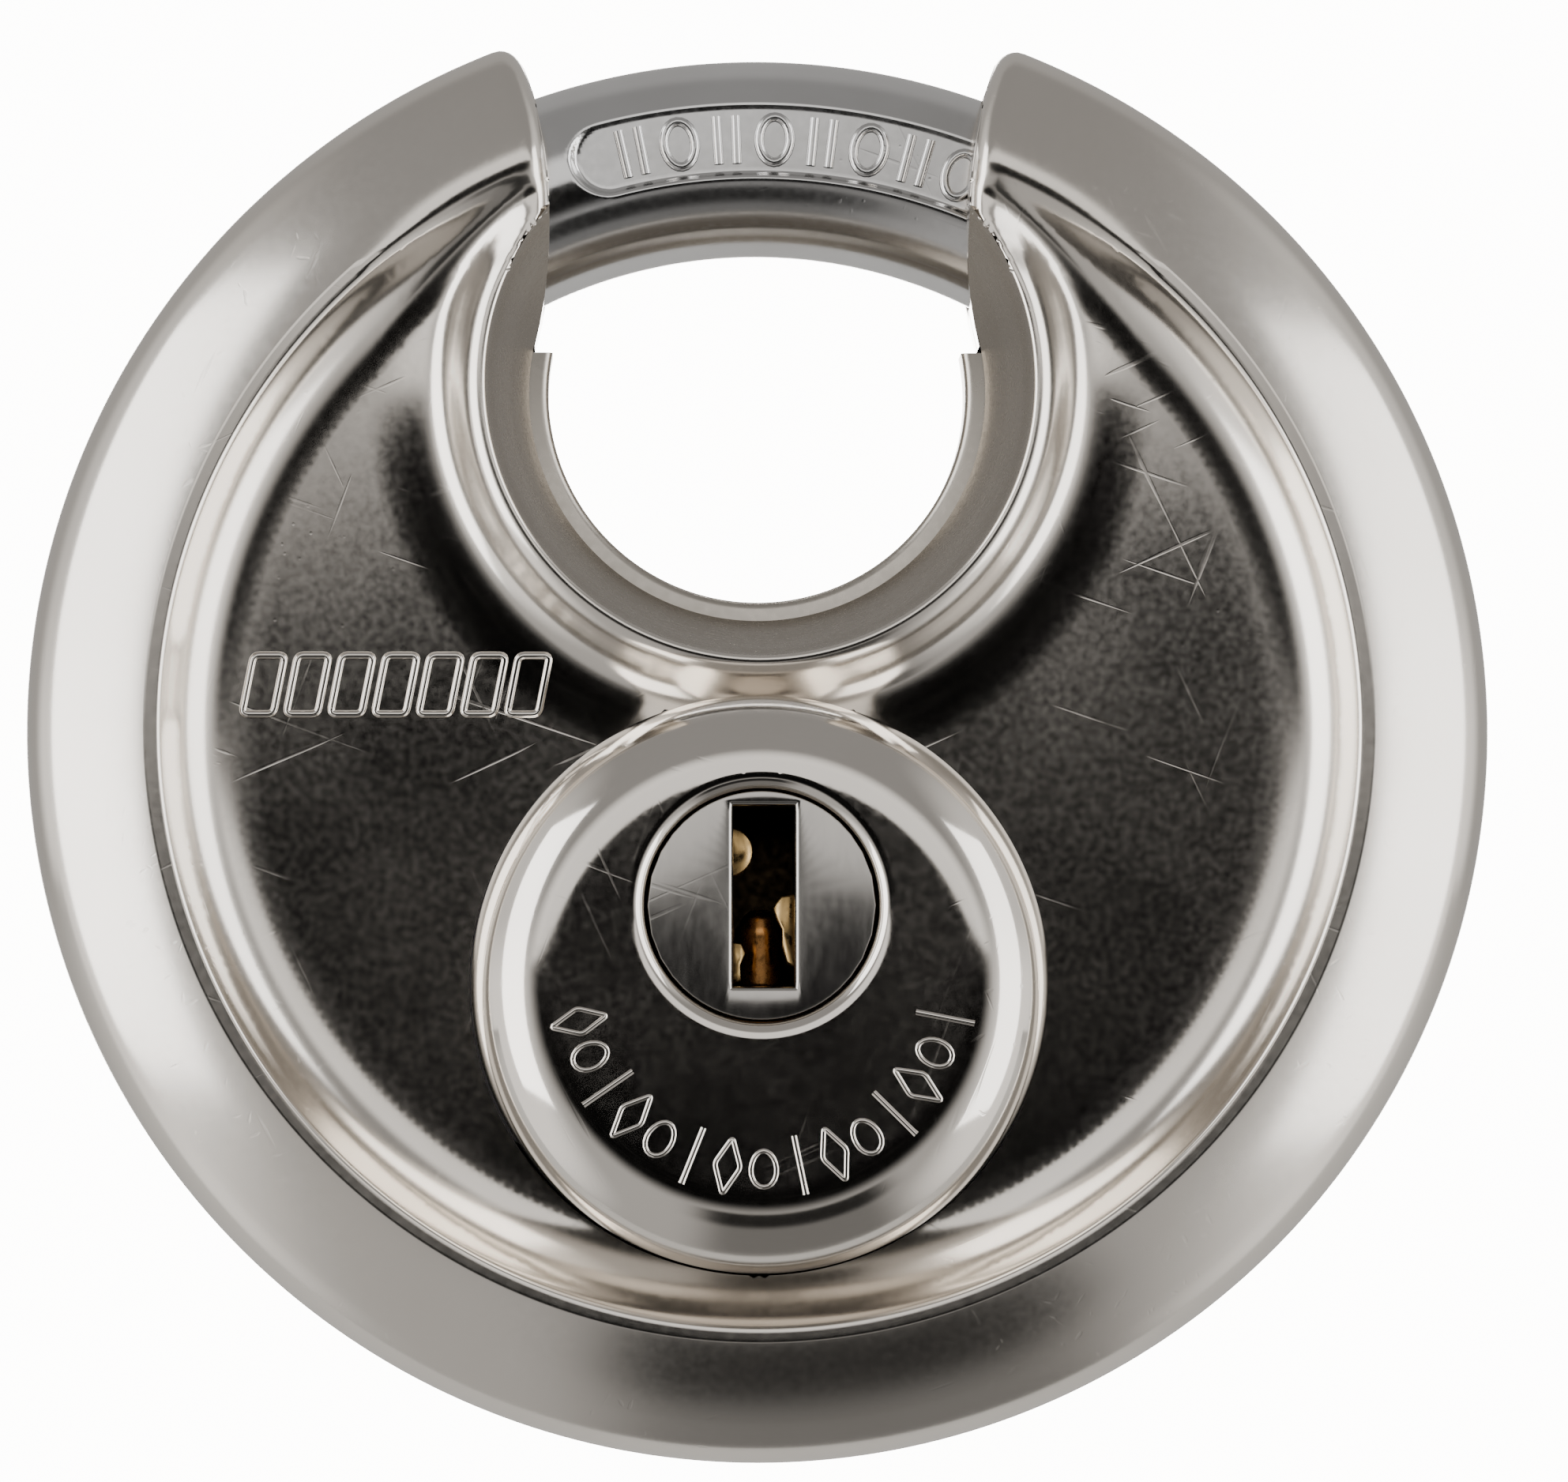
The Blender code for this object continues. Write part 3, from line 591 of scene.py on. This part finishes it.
def make_ring(material):
    """The plain ring in the throat of the hole, cut off square at the notch."""
    section = [(11.95, 2.0), (10.45, 2.0), (10.2, 1.93), (10.08, 1.78), (10.05, 1.6)]
    section += [(radius, -depth) for radius, depth in reversed(section)]
    columns = 140
    rows = []
    for radius, depth in section:
        end = math.asin((18.4 - HOLE_U) / radius)
        angles = np.linspace(math.pi / 2 - end, 1.5 * math.pi + end, columns)
        rows.append([(radius * math.sin(a), HOLE_U + radius * math.cos(a), depth) for a in angles])
    made = strip("ring", rows, material, turn=True)
    ends = bmesh.new()
    ends.from_mesh(made.data)
    ends.verts.ensure_lookup_table()
    ends.faces.new([ends.verts[i * columns] for i in range(len(section))])
    ends.faces.new([ends.verts[i * columns + columns - 1] for i in reversed(range(len(section)))])
    ends.to_mesh(made.data)
    ends.free()
    return join("throat_ring_skin", [made], "lock_case", ["throat_ring"], sharp=50)


# ---------------------------------------------------------------- plug face and keyway


def make_plug_face(material):
    """A thin disc with a bevelled slot."""
    half, low, high = 1.435, SLOT_U - 4.23, SLOT_U + 4.23
    shift = 0.1
    front, rear = FACE_FRONT_D, 13.65

    def slot_row(grow, depth, count=20):
        corners = [(half + grow, high + grow), (half + grow, low - grow), (-half - grow, low - grow)]
        corners.append((-half - grow, high + grow))
        row = []
        for a, b in zip(corners, corners[1:] + corners[:1]):
            for i in range(count):
                t = i / count
                row.append((shift + a[0] + (b[0] - a[0]) * t, a[1] + (b[1] - a[1]) * t, depth))
        return row

    outline = slot_row(0.26, front)
    rows = []
    edge = ((FACE_R, rear), (FACE_R, front - 0.08), (FACE_R - 0.03, front - 0.02), (FACE_R - 0.09, front))
    for radius, depth in edge:
        row = []
        for x, u, _ in outline:
            angle = math.atan2(x - shift, u - SLOT_U)
            row.append((radius * math.sin(angle), PLUG_U + radius * math.cos(angle), depth))
        rows.append(row)
    rows.append(outline)
    for grow, drop in ((0.18, 0.02), (0.1, 0.07), (0.04, 0.15), (0.0, 0.27), (0.0, front - rear)):
        rows.append(slot_row(grow, front - drop))
    made = strip("face", rows, material, closed=True)
    return join("plug_face_skin", [made], "plug", ["plug_face"], sharp=30)


def block(name, outline, back_d, front_d, material):
    """A flat outline in face coordinates with depth, its front edge slightly rounded."""
    middle = np.mean(outline, axis=0)
    rows = []
    for depth, share in ((back_d, 1.0), (front_d - 0.08, 1.0), (front_d, 0.93), (front_d, 0.0)):
        rows.append([(*(middle + (np.array(p) - middle) * share), depth) for p in outline])
    return strip(name, rows, material, closed=True, turn=True)


def make_keyway(brass, dark):
    """What shows through the slot: the plug's wards and the keyway's walls."""
    top, foot = PLUG_U + 4.7, PLUG_U - 5.27
    left, right = -1.55, 1.7
    wards = []
    nose = arc((left, PLUG_U + 2.55), 1.15, 90, -90, 14)
    nose += [(left - 0.5, PLUG_U + 1.4), (left - 0.5, PLUG_U + 3.7)]
    wards.append(block("w1", nose, 11.6, 12.9, brass))
    curve = [(right, PLUG_U + 0.6), (0.95, PLUG_U + 0.45), (0.55, PLUG_U - 0.05), (0.75, PLUG_U - 0.6)]
    curve += [(1.0, PLUG_U - 1.1), (1.0, PLUG_U - 1.9), (1.25, PLUG_U - 2.7), (right, PLUG_U - 2.9)]
    wards.append(block("w2", curve[::-1], 11.6, 12.9, brass))
    sliver = [(left, PLUG_U - 1.7), (-0.95, PLUG_U - 1.75), (-0.75, PLUG_U - 2.2), (-1.0, PLUG_U - 2.8)]
    sliver += [(-0.95, PLUG_U - 3.5), (left, PLUG_U - 3.7)]
    wards.append(block("w3", sliver[::-1], 11.6, 12.7, brass))
    join("keyway_wards", wards, "plug", [])
    # The keyway's walls are a closed tunnel in near-black brass, which paints the shade deep in the slot.
    walls = []
    outline = [(left, top), (right, top), (right, foot), (left, foot)]
    for depth in (13.3, 2.4):
        walls.append([(x, u, depth) for x, u in outline])
    walls.append([(0.0, PLUG_U, 2.4)] * 4)
    tunnel = strip("keyway_walls", walls, dark, closed=True)
    join("keyway_tunnel", [tunnel], "plug", ["plug"], sharp=30)


def make_pin(index, depth, foot, top, material):
    """A key pin with a pointed top."""
    outline = [(0, top), (0.45, top - 0.06), (0.85, top - 0.4), (1.1, top - 1.0), (1.1, foot), (0, foot)]
    section = rounded(outline, 0.06)
    rows = []
    for radius, height in section[::8]:
        reach = max(radius, 0)
        angles = np.linspace(0, 2 * math.pi, 28, endpoint=False)
        rows.append([(reach * math.cos(a), height, depth + reach * math.sin(a)) for a in angles])
    made = strip(f"pin_{index}", rows, material, closed=True, turn=True)
    return join(f"key_pin_{index}_skin", [made], f"key_pin_{index}", [f"key_pin_{index}"])


def make_spring(index, material):
    """The coil under a driver pin."""
    low, high = (np.array(corner) * 1000 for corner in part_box(f"pin_spring_{index}"))
    wire, turns = 0.18, 3.5
    middle_d = -(low[1] + high[1]) / 2
    reach = (high[0] - low[0]) / 2 - wire
    foot, top = low[2] + wire - CENTRE_Z * 1000, high[2] - wire - CENTRE_Z * 1000
    rows = []
    for share in np.linspace(0, 1, 100):
        turn = 2 * math.pi * turns * share
        row = []
        for around in np.linspace(0, 2 * math.pi, 8, endpoint=False):
            out = reach + wire * math.cos(around)
            up = foot + (top - foot) * share + wire * math.sin(around)
            row.append((out * math.cos(turn), up, middle_d + out * math.sin(turn)))
        rows.append(row)
    made = strip(f"spring_{index}", rows, material, closed=True)
    join(f"pin_spring_{index}_skin", [made], "lock_case", [f"pin_spring_{index}"])
    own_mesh(made)


# ---------------------------------------------------------------- marks


def stroke(name, path, radius, surface, material, closed=False):
    """A raised rounded line that follows a surface, half sunk in it."""
    curve = bpy.data.curves.new(name, "CURVE")
    curve.dimensions = "3D"
    curve.bevel_depth = radius / 1000
    curve.bevel_resolution = 2
    curve.use_fill_caps = True
    spline = curve.splines.new("POLY")
    spline.points.add(len(path) - 1)
    rows = to_row([(x, u, surface(x, u)) for x, u in path])
    for point, row in zip(spline.points, rows):
        point.co = (*row, 1)
    spline.use_cyclic_u = closed
    guide = bpy.data.objects.new(name, curve)
    bpy.context.scene.collection.objects.link(guide)
    graph = bpy.context.evaluated_depsgraph_get()
    mesh = bpy.data.meshes.new_from_object(guide.evaluated_get(graph))
    bpy.data.objects.remove(guide, do_unlink=True)
    mesh.materials.clear()
    mesh.materials.append(material)
    mesh.shade_smooth()
    made = bpy.data.objects.new(name, mesh)
    bpy.context.scene.collection.objects.link(made)
    return made


def softened(corners, radius, steps=4):
    """A closed outline with round corners."""
    path = []
    count = len(corners)
    for i in range(count):
        a, b, c = (np.array(corners[(i + k) % count], float) for k in (-1, 0, 1))
        back, on = (a - b) / np.linalg.norm(a - b), (c - b) / np.linalg.norm(c - b)
        for k in range(steps + 1):
            t = k / steps
            start, end = b + back * radius, b + on * radius
            path.append(tuple((1 - t) ** 2 * start + 2 * t * (1 - t) * b + t * t * end))
    return path


def make_marks(material, chrome):
    """Plain geometric marks on the dish, round the cap and along the shackle."""
    dish = lambda x, u: face_map(np.array([x]), np.array([u]), False)[0][2]
    strokes = []
    for i in range(7):
        x = -24.6 + i * 2.1
        wide, low, high, lean = 1.5, 0.65, 3.45, 0.55
        corners = [(x, low), (x + wide, low), (x + wide + lean, high), (x + lean, high)]
        strokes.append(stroke(f"s{i}", softened(corners, 0.3), 0.19, dish, material, True))
    join("dish_marks", strokes, "lock_case", [])
    strokes = []
    top = lambda x, u: 14.36
    for i in range(15):
        clock = math.radians(101 + i * 11.2)

        def at(along, out):
            r = 8.75 + out
            a = clock + along / 8.75
            return r * math.sin(a), BOSS_U + r * math.cos(a)

        if i % 3 == 1:
            turns = np.linspace(0, 2 * math.pi, 20, endpoint=False)
            path = [at(0.6 * math.cos(t), 0.85 * math.sin(t)) for t in turns]
            strokes.append(stroke(f"c{i}", path, 0.16, top, material, True))
        elif i % 3 == 0:
            path = [at(0, t) for t in np.linspace(-1.4, 1.4, 6)]
            strokes.append(stroke(f"c{i}", path, 0.18, top, material))
        else:
            corners = [at(-0.62, 0), at(0, 1.35), at(0.62, 0), at(0, -1.35)]
            strokes.append(stroke(f"c{i}", softened(corners, 0.2), 0.16, top, material, True))
    join("cap_marks", strokes, "lock_case", [])
    strokes = []
    floor = lambda x, u: 4.16
    for i in range(8):
        clock = -12.2 + i * 4.6

        def on_bar(along, out):
            r = PANEL_R + out
            a = math.radians(clock) + along / PANEL_R
            return r * math.sin(a), r * math.cos(a)

        if i % 2:
            turns = np.linspace(0, 2 * math.pi, 24, endpoint=False)
            path = [on_bar(0.75 * math.cos(t), 1.1 * math.sin(t)) for t in turns]
            strokes.append(stroke(f"b{i}", path, 0.24, floor, chrome, True))
        else:
            for k, along in enumerate((-0.45, 0.45)):
                path = [on_bar(along, t) for t in np.linspace(-1.15, 1.15, 6)]
                strokes.append(stroke(f"b{i}_{k}", path, 0.24, floor, chrome))
    join("shackle_marks", strokes, "shackle", [])


# ---------------------------------------------------------------- materials


class Wires:
    """Small helpers that add nodes to a node tree."""

    def __init__(self, tree):
        self.nodes, self.links = tree.nodes, tree.links

    def maths(self, kind, a, b=0.0):
        node = self.nodes.new("ShaderNodeMath")
        node.operation = kind
        for socket, value in zip(node.inputs, (a, b)):
            if isinstance(value, (int, float)):
                socket.default_value = value
            else:
                self.links.new(value, socket)
        return node.outputs[0]

    def span(self, value, low, high, to_low=0.0, to_high=1.0, blend="LINEAR"):
        """The value's range low to high, carried over to another range and held beyond its ends."""
        node = self.nodes.new("ShaderNodeMapRange")
        node.interpolation_type = blend
        for name, number in zip(("From Min", "From Max", "To Min", "To Max"), (low, high, to_low, to_high)):
            node.inputs[name].default_value = number
        self.links.new(value, node.inputs["Value"])
        return node.outputs["Result"]


def metal(name, colour, roughness, scratch, grain, tint=None, pits=0.12, brush=(1, 1, 1), satin=0.0):
    """A worn metal: cloudy roughness, fine scratches across each other, and a few pits."""
    made = bpy.data.materials.new(name)
    made.use_nodes = True
    wires = Wires(made.node_tree)
    nodes, links, maths, ramp = wires.nodes, wires.links, wires.maths, wires.span
    shader = nodes["Principled BSDF"]
    shader.inputs["Metallic"].default_value = 1.0
    place = nodes.new("ShaderNodeTexCoord")

    def noise(scale, stretch, turn=(0, 0, 0), detail=4.0):
        mapping = nodes.new("ShaderNodeMapping")
        mapping.vector_type = "TEXTURE"
        mapping.inputs["Scale"].default_value = [1 / share for share in stretch]
        mapping.inputs["Rotation"].default_value = turn
        texture = nodes.new("ShaderNodeTexNoise")
        texture.inputs["Scale"].default_value = scale
        texture.inputs["Detail"].default_value = detail
        links.new(place.outputs["Object"], mapping.inputs["Vector"])
        links.new(mapping.outputs["Vector"], texture.inputs["Vector"])
        return texture.outputs["Fac"]

    def reach(up):
        """Distance in the face's plane from a point that far above the disc's centre."""
        offset = nodes.new("ShaderNodeVectorMath")
        offset.operation = "MULTIPLY_ADD"
        offset.inputs[1].default_value = (1, 0, 1)
        offset.inputs[2].default_value = (0, 0, -(CENTRE_Z + up / 1000))
        length = nodes.new("ShaderNodeVectorMath")
        length.operation = "LENGTH"
        links.new(place.outputs["Object"], offset.inputs[0])
        links.new(offset.outputs["Vector"], length.inputs[0])
        return length.outputs["Value"]

    cloud = noise(90, (1, 1, 1))
    fine = noise(2600, brush)
    lines = 0.0
    for turn in (0.35, 1.15, 1.9, 2.7):
        streaks = noise(2600, (1, 1, 0.035), (0, turn, 0), 1.0)
        lines = maths("MAXIMUM", lines, ramp(streaks, 0.715, 0.775, 0.0, 0.8))
    patches = ramp(noise(140, (1, 1, 1)), 0.45, 0.62)
    lines = maths("MULTIPLY", lines, patches)
    cells = nodes.new("ShaderNodeTexVoronoi")
    cells.inputs["Scale"].default_value = 1300
    links.new(place.outputs["Object"], cells.inputs["Vector"])
    spots = ramp(cells.outputs["Distance"], 0.04, 0.12, 1.0, 0.0)
    spots = maths("MULTIPLY", spots, ramp(noise(120, (1, 1, 1)), 0.52, 0.6))
    cloudy = ramp(cloud, 0.3, 0.7, roughness * 0.85, roughness * 1.2)
    rough = maths("ADD", cloudy, maths("MULTIPLY", lines, 0.07))
    rough = maths("ADD", rough, ramp(fine, 0.3, 0.7, -grain * 0.5, grain * 0.5))
    if satin:
        # The flat dish is polished brighter than the rim and the collar round the hole.
        rim = ramp(reach(0), 0.0238, 0.0262, 0.0, satin)
        collar = ramp(reach(HOLE_U), 0.0152, 0.0168, satin, 0.0)
        rough = maths("ADD", rough, maths("MAXIMUM", rim, collar))
    links.new(rough, shader.inputs["Roughness"])
    colours = nodes.new("ShaderNodeMix")
    colours.data_type = "RGBA"
    colours.inputs["A"].default_value = (*colour, 1)
    colours.inputs["B"].default_value = (*(tint or [c * 0.86 for c in colour]), 1)
    links.new(ramp(cloud, 0.35, 0.75), colours.inputs["Factor"])
    links.new(colours.outputs["Result"], shader.inputs["Base Color"])
    height = maths("ADD", maths("MULTIPLY", lines, -scratch), maths("MULTIPLY", spots, -pits))
    height = maths("ADD", height, maths("MULTIPLY", fine, grain))
    bump = nodes.new("ShaderNodeBump")
    bump.inputs["Strength"].default_value = 0.12
    bump.inputs["Distance"].default_value = 0.00003
    links.new(height, bump.inputs["Height"])
    links.new(bump.outputs["Normal"], shader.inputs["Normal"])
    return made


def plain(name, colour, roughness):
    made = bpy.data.materials.new(name)
    made.use_nodes = True
    shader = made.node_tree.nodes["Principled BSDF"]
    shader.inputs["Base Color"].default_value = (*colour, 1)
    shader.inputs["Roughness"].default_value = roughness
    return made


# ---------------------------------------------------------------- studio


BACKDROP = 14.0
VIEW_DISTANCE = 0.475
VIEW_WIDTH = 0.0758


def make_world():
    """A pale room with a dark end behind the camera, as polished steel shows it."""
    world = bpy.data.worlds.new("studio")
    bpy.context.scene.world = world
    world.use_nodes = True
    wires = Wires(world.node_tree)
    nodes, links, maths = wires.nodes, wires.links, wires.maths
    background = nodes["Background"]
    place = nodes.new("ShaderNodeTexCoord")
    split = nodes.new("ShaderNodeSeparateXYZ")
    links.new(place.outputs["Generated"], split.inputs["Vector"])

    def step(value, low, high, to_low=0.0, to_high=1.0):
        return wires.span(value, low, high, to_low, to_high, "SMOOTHSTEP")

    x, y, z = split.outputs
    dark = step(y, -0.93, -0.78)
    side = step(maths("ABSOLUTE", x), 0.5, 0.82, 0.46, 1.2)
    upper = step(z, 0.0, 0.3, 1.0, 0.64)
    # Round the view axis, counted from straight down towards the right, something dark stands below.
    turn = maths("ARCTAN2", x, maths("MULTIPLY", z, -1.0))
    below = maths("MULTIPLY", step(turn, -0.4, -0.1), step(turn, 0.45, 0.75, 1.0, 0.0))
    below = maths("MULTIPLY", below, step(y, -0.84, -0.78))
    below = maths("MULTIPLY", below, step(y, -0.66, -0.5, 1.0, 0.6))
    lower = step(below, 0.0, 1.0, 1.0, 0.04)
    front = maths("MULTIPLY", maths("MULTIPLY", side, upper), lower)
    front = maths("MULTIPLY", front, dark)
    height = maths("SUBTRACT", z, maths("MULTIPLY", x, 0.02))
    glow = maths("MULTIPLY", step(height, 0.073, 0.093), step(y, -0.9, -0.75, 1.0, 0.0))
    front = maths("ADD", front, maths("MULTIPLY", glow, 1.05))
    clouds = nodes.new("ShaderNodeTexNoise")
    clouds.inputs["Scale"].default_value = 45
    clouds.inputs["Detail"].default_value = 1.0
    links.new(place.outputs["Generated"], clouds.inputs["Vector"])
    front = maths("ADD", front, step(clouds.outputs["Fac"], 0.54, 0.70, 0.0, 0.014))
    front = maths("ADD", front, 0.002)
    behind = step(y, 0.1, 0.5)
    front = maths("MULTIPLY", front, maths("SUBTRACT", 1.0, behind))
    strength = maths("ADD", front, maths("MULTIPLY", behind, 0.42))
    # A bright backdrop along +Y, which lights the edges that face it.
    strength = maths("ADD", strength, step(y, 0.95, 0.985, 0.0, BACKDROP))
    # Rays straight from the camera see that same backdrop on every side.
    path = nodes.new("ShaderNodeLightPath")
    seen = nodes.new("ShaderNodeMix")
    links.new(path.outputs["Is Camera Ray"], seen.inputs["Factor"])
    links.new(strength, seen.inputs["A"])
    seen.inputs["B"].default_value = BACKDROP
    links.new(seen.outputs["Result"], background.inputs["Strength"])
    background.inputs["Color"].default_value = (1.0, 0.975, 0.945, 1)


def area_light(name, location, target, size, power):
    data = bpy.data.lights.new(name, "AREA")
    data.shape = "RECTANGLE"
    data.size, data.size_y = size
    data.energy = power
    light = bpy.data.objects.new(name, data)
    light.location = location
    light.rotation_euler = (Vector(target) - Vector(location)).to_track_quat("-Z", "Y").to_euler()
    bpy.context.scene.collection.objects.link(light)


def make_studio():
    make_world()
    area_light("left", (-0.5, -0.28, 0.05), (0, 0, -0.02), (0.35, 0.7), 2.2)
    area_light("right", (0.52, -0.26, 0.0), (0, 0, -0.02), (0.35, 0.7), 1.8)
    floor = bpy.data.meshes.new("floor")
    front, back, level = 0.02, 1.2, -0.16
    wide = 0.8
    corners = [(-wide, front, level), (wide, front, level), (wide, back, level), (-wide, back, level)]
    floor.from_pydata(corners, [], [(0, 1, 2, 3)])
    floor.materials.append(plain("floor", (0.86, 0.86, 0.85), 0.8))
    stage = bpy.data.objects.new("floor", floor)
    bpy.context.scene.collection.objects.link(stage)
    data = bpy.data.cameras.new("camera")
    data.sensor_width = 36
    data.lens = data.sensor_width * VIEW_DISTANCE / VIEW_WIDTH
    camera = bpy.data.objects.new("camera", data)
    azimuth, elevation = math.radians(-1.2), math.radians(-2.8)
    target = Vector((0.00134, 0, CENTRE_Z - 0.00025))
    away = Vector((math.sin(azimuth), -math.cos(azimuth), math.tan(elevation))).normalized()
    camera.location = target + away * VIEW_DISTANCE
    camera.rotation_euler = (-away).to_track_quat("-Z", "Y").to_euler()
    bpy.context.scene.collection.objects.link(camera)
    bpy.context.scene.camera = camera


STEEL = metal("polished_steel", (0.88, 0.835, 0.775), 0.09, 0.6, 0.03, (0.83, 0.78, 0.715), satin=0.08)
CHROME = metal("chromed_steel", (0.80, 0.80, 0.80), 0.16, 0.6, 0.05, (0.66, 0.65, 0.64), pits=0.6)
# The flare is the shell's own steel with a dark brown base colour: painted shade and painted dark reflection
# in the throat of the hole.
SHADED_FLARE_STEEL = metal("flare_steel_painted_shade", (0.34, 0.30, 0.25), 0.26, 0.6, 0.08)
RING_STEEL = metal("ring_steel", (0.62, 0.58, 0.52), 0.28, 0.6, 0.08)
FACE_STEEL = metal("face_steel", (0.58, 0.56, 0.53), 0.20, 1.0, 0.05, brush=(1, 1, 0.3))
BRASS = metal("brass", (0.62, 0.42, 0.18), 0.32, 0.7, 0.3)
# Near-black brass for the keyway's walls: painted shade deep in the slot, not the brass's own colour.
KEYWAY_SHADE_BRASS = metal("keyway_brass_painted_shade", (0.08, 0.055, 0.03), 0.5, 0.5, 0.4)
PIN_BRASS = metal("pin_brass", (0.62, 0.30, 0.10), 0.25, 0.5, 0.3)
make_shell("front_shell", False, STEEL)
make_shell("rear_shell", True, STEEL)
make_cap(STEEL)
make_shackle(CHROME)
make_ring(RING_STEEL)
make_plug_face(FACE_STEEL)
make_keyway(BRASS, KEYWAY_SHADE_BRASS)
make_pin(1, 9.8, PLUG_U - 3.8, PLUG_U - 0.05, PIN_BRASS)
for spring in range(1, 5):
    make_spring(spring, RING_STEEL)
make_marks(STEEL, CHROME)
make_studio()
